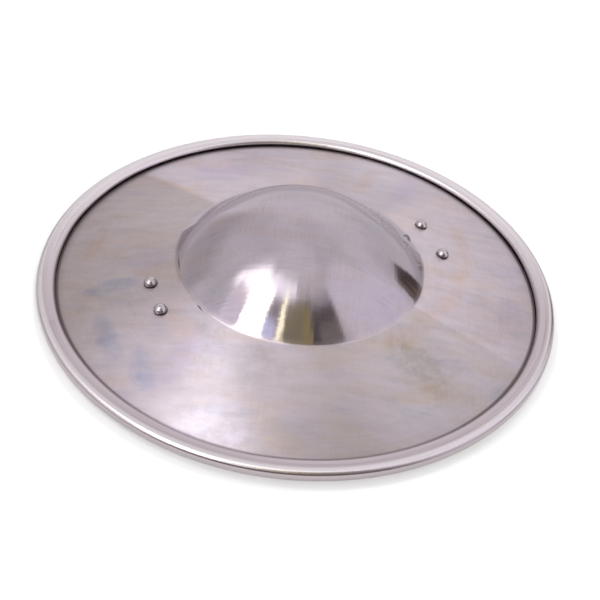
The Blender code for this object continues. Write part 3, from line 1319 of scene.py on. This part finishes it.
# ------------------------------------------------------------------ the grip
@dataclass
class Grip:
    """The strap behind the boss, bowed away from it, its long sides turned up.

    Lengths are in metres, from the shield's middle along the strap and from the floor up.
    """

    plate: RaisedPlate
    low: Vector
    high: Vector
    gap: float = 0.0003
    thickness: float = 0.0025
    corner: float = 0.009
    half_width: float = 0.0150
    flat_half_width: float = 0.0080
    sides_rise: float = 0.0050
    middle_top: float = 0.0130
    straight_half: float = 0.045
    seat_half: float = 0.090
    stations: int = 120
    across: int = 16
    edge_round: float = 0.0005
    sharp_edge: float = radians(50)
    crease: float = radians(35)
    finish: Finish = field(default_factory=lambda: GripSteel("grip_strap_steel"))

    def spread(self, x: float) -> float:
        """Share of the way from the level middle to the seat on the sheet."""
        return ease((abs(x) - self.straight_half) / (self.seat_half - self.straight_half))

    def half_at(self, x: float) -> float:
        """Half the strap's width at a place along it.

        Args:
            x: the place.

        Returns:
            Half the width, less in the rounded corners.
        """
        end_half = (self.high.y - self.low.y) / 2
        half = self.half_width + (end_half - self.half_width) * self.spread(x)
        into_corner = self.corner - (abs(self.low.x if x < 0 else self.high.x) - abs(x))
        if into_corner > 0:
            half -= self.corner - sqrt(max(self.corner ** 2 - into_corner ** 2, 0.0))
        return half

    def height_at(self, x: float, y: float) -> float:
        """Height of the strap's upper side, before its long sides are turned up.

        Args:
            x: the place along the strap.
            y: the place across it.

        Returns:
            The height.
        """
        radius = max(hypot(x, y), self.seat_half)
        on_sheet = self.plate.face_height(radius)
        on_sheet -= (self.plate.sheet / 2 + self.gap) / cos(self.plate.face_slope)
        return self.middle_top + (on_sheet - self.middle_top) * self.spread(x)

    def build(self, rivet_places: list[Matrix], hole_radius: float) -> bpy.types.Object:
        """Model the strap and drill it for its rivets.

        Args:
            rivet_places: frames of the rivets.
            hole_radius: radius of their holes.

        Returns:
            The finished strap.
        """
        middle = (self.low.y + self.high.y) / 2
        deselect_all()
        bpy.ops.mesh.primitive_grid_add(x_subdivisions=self.stations, y_subdivisions=self.across,
                                        size=2.0)
        strap = bpy.context.object
        strap.name = strap.data.name = "grip_strap"
        for vertex in strap.data.vertices:
            share = (vertex.co.x + 1) / 2
            x = self.low.x + (self.high.x - self.low.x) * share
            half = self.half_at(x)
            flat = self.flat_half_width / self.half_width * half
            off = vertex.co.y * half
            turned = max(abs(off) - flat, 0.0) / max(half - flat, TOUCHING)
            rise = self.sides_rise * (1 - self.spread(x)) * turned ** 2
            y = middle + off
            vertex.co = (x, y, self.height_at(x, y) + rise)
        apply_modifier(strap, "SOLIDIFY", thickness=self.thickness, offset=-1.0)
        apply_modifier(strap, "BEVEL", width=self.edge_round, segments=3,
                       angle_limit=self.sharp_edge)
        drill(strap, rivet_places, hole_radius)
        smooth(strap, self.crease)
        self.finish.dress(strap)
        return strap


# ------------------------------------------------------------------ the buckler
@dataclass
class Buckler:
    """The whole shield."""

    plate: RaisedPlate
    grip: Grip
    rivets: list[Rivet]
    hole_clearance: float = 0.0003

    def build(self) -> None:
        """Model every piece and hang it on the body, hiding the solid it stands for."""
        places = [self.plate.square_to_face(*rivet.spot) for rivet in self.rivets]
        hole = self.rivets[0].shank_radius + self.hole_clearance
        self.seat(self.plate.build(places, hole), "shield_plate", Slot.SHINE)
        self.seat(self.grip.build(places, hole), "grip", Slot.GRIP)
        for rivet, place in zip(self.rivets, places):
            self.seat(rivet.build(place), rivet.node, Slot.RIVET)

    @staticmethod
    def seat(piece: bpy.types.Object, node: str, slot: Slot) -> None:
        """Hang a piece on the body in place of a node.

        Args:
            piece: the finished piece.
            node: the solid that it stands for.
            slot: the finish it takes; not used.
        """
        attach(piece, BODY)
        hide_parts(node)
        LOG.info("%s: %d faces", piece.name, len(piece.data.polygons))


# ------------------------------------------------------------------ the room
@dataclass(frozen=True)
class Pane:
    """A patch of the room as the buckler faces it.

    Azimuths are in degrees from -Y towards +X, elevations in degrees above the floor.
    """

    azimuth: float
    elevation: float
    half_width: float
    half_height: float
    colour: Colour
    soft: float = 1.5
    lean: float = 0.0

    def mask(self, azimuth: Value, elevation: Value) -> Value:
        """Share of the pane in a direction.

        Args:
            azimuth: the direction's azimuth.
            elevation: its elevation.

        Returns:
            1 inside the pane, fading at its edges.
        """
        upright = azimuth - (elevation - self.elevation) * self.lean
        across = upright.band(self.azimuth, self.half_width, self.soft)
        return across * elevation.band(self.elevation, self.half_height, self.soft)


@dataclass(frozen=True)
class Room:
    """Pale room with a window, a doorway and a curtain on the near side."""

    walls: Colour = (1.06, 1.03, 1.08)
    shaded_walls: Colour = (0.90, 0.87, 0.91)
    shade: Patches = Patches(2.2, 0.36, 0.64, detail=3)
    panes: tuple[Pane, ...] = (
        Pane(0, 90, 200, 8, (1.11, 1.07, 1.12), soft=8),
        Pane(150, 33, 14, 10, (1.13, 1.09, 1.14), soft=12),
        Pane(116, 12, 14, 8, (0.92, 0.89, 0.93), soft=12),
        Pane(-22, 8, 48, 15, (0.16, 0.135, 0.12), soft=3),
        Pane(52, 2, 26, 9, (0.20, 0.17, 0.17), soft=4),
        Pane(-152, 16, 20, 8, (0.72, 0.68, 0.70), soft=12),
        Pane(-89, 59, 25, 9, (3.2, 3.2, 3.2), soft=6),
        Pane(-60, 69, 30, 4, (2.2, 2.2, 2.3), soft=6),
        Pane(-68, 44, 13.5, 20, (5.0, 5.0, 5.0), lean=-0.38),
        Pane(-92, 38, 8, 13, (1.32, 1.22, 1.33), soft=2, lean=-0.5),
        Pane(-51, 54, 8.5, 8, (0.38, 0.33, 0.36), lean=-0.3),
        Pane(-50, 35, 5, 11, (1.22, 1.28, 1.72), lean=-0.2),
        Pane(-40, 45, 2.2, 22, (3.0, 2.9, 2.1), soft=1.2, lean=-0.12),
        Pane(55, 35, 24, 30, (1.16, 1.12, 1.24), soft=10),
        Pane(-22, 44, 15, 20, (0.40, 0.36, 0.245)),
        Pane(-13.5, 40, 2.5, 16, (0.50, 0.41, 0.19), soft=2),
        Pane(10, 60, 16, 5, (0.60, 0.56, 0.60), soft=2.5, lean=0.3),
        Pane(6.5, 41, 13, 16, (0.15, 0.133, 0.14), lean=0.15),
        Pane(9, 34, 9, 10, (0.33, 0.30, 0.29), soft=3),
        Pane(-7.3, 45, 0.4, 22, (0.08, 0.08, 0.08), soft=0.6),
    )

    def colour(self, graph: Graph) -> Value:
        """The room's colour in each direction.

        Args:
            graph: the world's tree.

        Returns:
            The colour.
        """
        direction = graph.node("ShaderNodeTexCoord", output="Generated")
        x, y, z = graph.axes(direction)
        azimuth = x.angle_to(0 - y) * degrees(1)
        elevation = z.arcsine() * degrees(1)
        shaded = self.shade.over(graph, direction)
        colour = graph.mix(shaded, self.walls, self.shaded_walls)
        for pane in self.panes:
            colour = graph.mix(pane.mask(azimuth, elevation), colour, pane.colour)
        return colour


# ------------------------------------------------------------------ the setting
@dataclass(frozen=True)
class Lamp:
    """A far and soft light that steel doesn't mirror. All its angles are in degrees."""

    name: str
    azimuth: float
    elevation: float
    strength: float
    spread: float = 14.0

    def hang(self) -> None:
        """Hang the lamp, turned to the buckler."""
        lamp = bpy.data.objects.new(self.name, bpy.data.lights.new(self.name, "SUN"))
        bpy.context.scene.collection.objects.link(lamp)
        lamp.data.energy = self.strength
        lamp.data.angle = radians(self.spread)
        azimuth, elevation = radians(self.azimuth), radians(self.elevation)
        away = Vector((cos(azimuth) * cos(elevation), sin(azimuth) * cos(elevation),
                       sin(elevation)))
        turn = away.to_track_quat("Z", "Y").to_matrix().to_4x4()
        lamp.matrix_world = Matrix.Translation(away) @ turn
        lamp.visible_glossy = False


@dataclass
class Setting:
    """The floor, the light and the camera, in metres and radians."""

    look_at: Vector = field(default_factory=lambda: Vector((-0.0098, -0.0246, 0.0048)))
    distance: float = 0.6387
    azimuth: float = radians(-27.8)
    pitch: float = radians(41.13)
    roll: float = radians(6.84)
    lens: float = 56.5
    floor_size: float = 12.0
    fill: float = 0.72
    fill_colour: Colour = (1.0, 1.0, 1.0)
    board_azimuth: float = radians(-4)
    board_distance: float = 0.40
    board_width: float = 0.098
    board_height: float = 0.165
    mat_inner: float = 0.215
    mat_outer: float = 5.5
    mat_lift: float = 0.0005
    mat_sides: int = 96
    sensor: float = 36.0
    lamps: tuple[Lamp, ...] = (
        Lamp("right_lamp", 42, 55, 0.42),
        Lamp("left_lamp", 122, 55, 0.42),
        Lamp("near_lamp", -100, 35, 1.7, 30),
    )

    def set_camera(self) -> None:
        """Place the camera above and to the left of the buckler's near side."""
        back = Vector((sin(self.azimuth) * cos(self.pitch),
                       -cos(self.azimuth) * cos(self.pitch), sin(self.pitch)))
        camera = bpy.data.objects.new("camera", bpy.data.cameras.new("camera"))
        bpy.context.scene.collection.objects.link(camera)
        camera.data.sensor_width = self.sensor
        camera.data.lens = self.lens
        turn = (-back).to_track_quat("-Z", "Y").to_matrix().to_4x4()
        camera.matrix_world = (Matrix.Translation(self.look_at + back * self.distance)
                               @ turn @ Matrix.Rotation(self.roll, 4, "Z"))
        bpy.context.scene.camera = camera

    def lay_floor(self) -> None:
        """Lay a wide sheet of paper under the buckler."""
        deselect_all()
        bpy.ops.mesh.primitive_plane_add(size=self.floor_size)
        floor = bpy.context.object
        floor.name = "floor"
        Paper("pale_paper").dress(floor)

    @staticmethod
    def leave_to_mirrors(piece: bpy.types.Object) -> None:
        """Let a piece be seen only where polished steel mirrors it."""
        for sight in ("camera", "diffuse", "transmission", "shadow"):
            setattr(piece, f"visible_{sight}", False)

    def stand_board(self) -> None:
        """Stand a dark board beside the buckler, seen only as polished steel mirrors it."""
        deselect_all()
        bpy.ops.mesh.primitive_plane_add(size=1.0)
        board = bpy.context.object
        board.name = "board"
        size = Matrix.Diagonal((self.board_width, self.board_height, 1.0, 1.0))
        upright = Matrix.Rotation(pi / 2, 4, "X")
        turn = Matrix.Rotation(self.board_azimuth + pi / 2, 4, "Z")
        spot = Matrix.Translation((self.board_distance * cos(self.board_azimuth),
                                   self.board_distance * sin(self.board_azimuth),
                                   self.board_height / 2))
        board.data.transform(spot @ turn @ upright @ size)
        self.leave_to_mirrors(board)
        Slab("brown_board").dress(board)

    def lay_mat(self) -> None:
        """Lay a mat round the buckler, seen only as polished steel mirrors it."""
        deselect_all()
        bpy.ops.mesh.primitive_circle_add(vertices=self.mat_sides, radius=self.mat_inner,
                                          fill_type="NOTHING")
        mat = bpy.context.object
        mat.name = "mat"
        bpy.ops.object.mode_set(mode="EDIT")
        bpy.ops.mesh.select_all(action="SELECT")
        bpy.ops.mesh.extrude_region_move()
        bpy.ops.transform.resize(value=(self.mat_outer / self.mat_inner,) * 3)
        bpy.ops.object.mode_set(mode="OBJECT")
        mat.data.transform(Matrix.Translation((0.0, 0.0, self.mat_lift)))
        self.leave_to_mirrors(mat)
        Cloth("grey_mat").dress(mat)

    def light(self) -> None:
        """Fill the room with soft light, and give polished steel the room to mirror."""
        world = bpy.data.worlds.new("room")
        world.use_nodes = True
        world.cycles.sampling_method = "NONE"
        graph = Graph(world.node_tree)
        soft = graph.node("ShaderNodeBackground", links={
            "Color": self.fill_colour, "Strength": self.fill})
        mirrored = graph.node("ShaderNodeBackground", links={"Color": Room().colour(graph)})
        glossy = graph.node("ShaderNodeLightPath", output="Is Glossy Ray")
        both = graph.node("ShaderNodeMixShader", links={0: glossy, 1: soft, 2: mirrored})
        out = world.node_tree.nodes.new("ShaderNodeOutputWorld")
        world.node_tree.links.new(both.socket, out.inputs["Surface"])
        bpy.context.scene.world = world
        bpy.context.scene.view_settings.view_transform = "Standard"

    def build(self) -> None:
        """Make the whole setting."""
        self.set_camera()
        self.lay_floor()
        self.stand_board()
        self.lay_mat()
        for lamp in self.lamps:
            lamp.hang()
        self.light()


def main() -> None:
    """Build the buckler and its setting, sizing the plate and the grip from their boxes."""
    logging.basicConfig(level=logging.INFO, format="%(message)s")
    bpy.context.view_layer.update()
    Setting().build()
    plate_low, plate_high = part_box("shield_plate")
    plate = RaisedPlate(outer_radius=(plate_high.x - plate_low.x) / 2, boss_top=plate_high.z)
    grip = Grip(plate, *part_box("grip"))
    rivets = [Rivet(node, grip.thickness, plate.sheet)
              for node in sorted(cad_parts) if node.startswith("rivet_")]
    Buckler(plate, grip, rivets).build()


if __name__ == "__main__":
    main()
